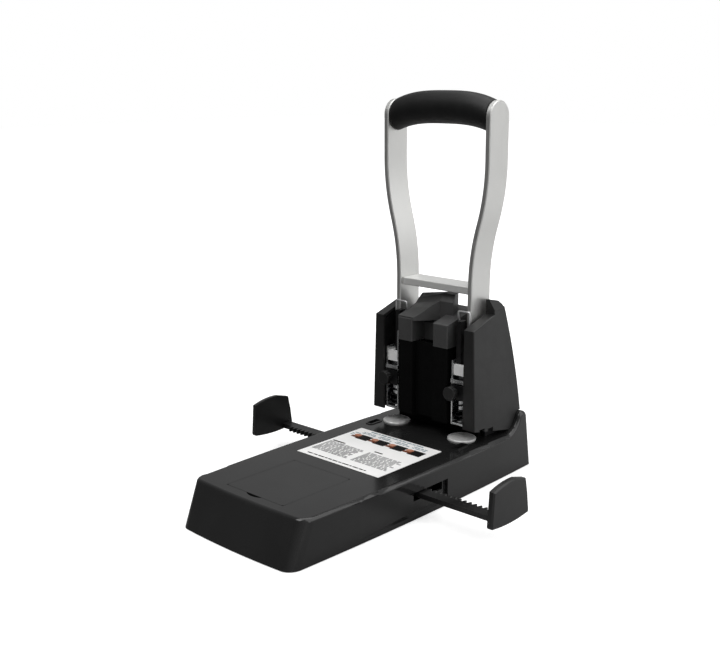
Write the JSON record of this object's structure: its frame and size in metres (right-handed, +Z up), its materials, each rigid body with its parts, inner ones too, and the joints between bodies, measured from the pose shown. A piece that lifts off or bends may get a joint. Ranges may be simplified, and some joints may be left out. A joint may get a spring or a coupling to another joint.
{
  "type": "two-hole punch",
  "caption": "Heavy-duty desk hole punch: tall looped lever drives two hollow punches; linked paper guides, storage lid and chip drawer in the base.",
  "frame": {"origin": "centre of the footprint, at table height, with the handle upright and the paper guides at rest", "axes": "+Z up, +X to the user's right along the line of the two holes, +Y away from the user"},
  "size_m": [0.275, 0.284, 0.3118],
  "materials": {
    "base_plastic": "satin gloss",
    "cheek_plastic": "satin",
    "column_plastic": "matt",
    "inner_plastic": "matt",
    "gear_plastic": "matt",
    "rack_plastic": "matt",
    "stop_plastic": "satin",
    "knob_plastic": "matt",
    "head_casting": "fine texture",
    "label_sheet": "printed",
    "foot_rubber": "matt",
    "grip_rubber": "matt",
    "arm_aluminium": "brushed",
    "disc_steel": "turned",
    "slide_steel": "ground",
    "bracket_steel": "zinc plated",
    "spring_steel": "drawn wire",
    "screw_steel": "zinc plated",
    "floor_steel": "black",
    "dark_steel": "blackened"
  },
  "bodies": {
    "base": {"base_shell": "base_plastic", "base_floor": "floor_steel", "floor_screws": "screw_steel", "rubber_feet": "foot_rubber", "storage_box": "inner_plastic", "instruction_label": "label_sheet", "guide_carrier": "inner_plastic", "guide_cover": "floor_steel", "anvil": "dark_steel", "tie_rods": "dark_steel", "rear_cover": "cheek_plastic", "column_cover": "column_plastic", "paper_stop": "column_plastic", "head": "head_casting", "side_frame_left": "dark_steel", "side_frame_right": "dark_steel", "cheek_left": "cheek_plastic", "cheek_right": "cheek_plastic", "punch_bracket_left": "bracket_steel", "punch_bracket_right": "bracket_steel", "clamp_plate_left": "dark_steel", "clamp_plate_right": "dark_steel", "punch_spring_left": "spring_steel", "punch_spring_right": "spring_steel"},
    "handle": {"handle_arm_left": "arm_aluminium", "handle_arm_right": "arm_aluminium", "handle_crossbar": "arm_aluminium", "grip": "grip_rubber", "grip_rod": "screw_steel", "main_shaft": "screw_steel", "drive_sector_left": "dark_steel", "drive_sector_right": "dark_steel", "return_spring_left": "spring_steel", "return_spring_right": "spring_steel"},
    "pinion": {"guide_pinion": "gear_plastic"},
    "drawer": {"chip_drawer": "inner_plastic"},
    "lid": {"storage_lid": "base_plastic"},
    "left_punch": {"punch_slide_left": "slide_steel", "slide_rack_left": "dark_steel", "punch_left": "slide_steel"},
    "left_guide": {"guide_rack_left": "rack_plastic", "guide_plate_left": "stop_plastic"},
    "left_disc": {"cutting_disc_left": "disc_steel"},
    "left_knob": {"knob_left": "knob_plastic"},
    "right_punch": {"punch_slide_right": "slide_steel", "slide_rack_right": "dark_steel", "punch_right": "slide_steel"},
    "right_guide": {"guide_rack_right": "rack_plastic", "guide_plate_right": "stop_plastic"},
    "right_disc": {"cutting_disc_right": "disc_steel"},
    "right_knob": {"knob_right": "knob_plastic"}
  },
  "joints": [
    {"name": "handle_hinge", "type": "hinge", "parent": "base", "child": "handle", "pos_m": [0, 0.098, 0.106], "axis": [1, 0, 0], "range_deg": [0, 80], "stiffness_Nm_per_rad": 0.5, "springref_deg": -20.05},
    {"name": "right_punch_slide", "type": "slide", "parent": "base", "child": "right_punch", "axis": [0, 0, -1], "range_m": [0, 0.0224], "deforming": ["punch_spring_right"]},
    {"name": "left_punch_slide", "type": "slide", "parent": "base", "child": "left_punch", "axis": [0, 0, -1], "range_m": [0, 0.0224], "deforming": ["punch_spring_left"]},
    {"name": "right_guide_slide", "type": "slide", "parent": "base", "child": "right_guide", "axis": [1, 0, 0], "range_m": [-0.031, 0.016]},
    {"name": "left_guide_slide", "type": "slide", "parent": "base", "child": "left_guide", "axis": [-1, 0, 0], "range_m": [-0.031, 0.016]},
    {"name": "pinion_spin", "type": "hinge", "parent": "base", "child": "pinion", "pos_m": [0, 0.0155, 0.0185], "axis": [0, 0, 1], "range_deg": [-119, 62]},
    {"name": "drawer_slide", "type": "slide", "parent": "base", "child": "drawer", "axis": [0, 1, 0], "range_m": [0, 0.05]},
    {"name": "lid_hinge", "type": "hinge", "parent": "base", "child": "lid", "pos_m": [0, -0.051, 0.0346], "axis": [-1, 0, 0], "range_deg": [0, 100]},
    {"name": "right_disc_spin", "type": "hinge", "parent": "base", "child": "right_disc", "pos_m": [0.035, 0.076, 0.034], "axis": [0, 0, 1], "continuous": true},
    {"name": "right_knob_spin", "type": "hinge", "parent": "base", "child": "right_knob", "pos_m": [0.033, 0.062, 0.0754], "axis": [0, 1, 0], "continuous": true},
    {"name": "left_disc_spin", "type": "hinge", "parent": "base", "child": "left_disc", "pos_m": [-0.035, 0.076, 0.034], "axis": [0, 0, 1], "continuous": true},
    {"name": "left_knob_spin", "type": "hinge", "parent": "base", "child": "left_knob", "pos_m": [-0.037, 0.062, 0.0754], "axis": [0, 1, 0], "continuous": true}
  ],
  "couplings": [
    {"joint": "right_punch_slide", "follows": "handle_hinge", "m_per_rad": 0.016},
    {"joint": "left_punch_slide", "follows": "handle_hinge", "m_per_rad": 0.016},
    {"joint": "left_guide_slide", "follows": "right_guide_slide", "ratio": 1},
    {"joint": "pinion_spin", "follows": "right_guide_slide", "rad_per_m": 66.667}
  ]
}
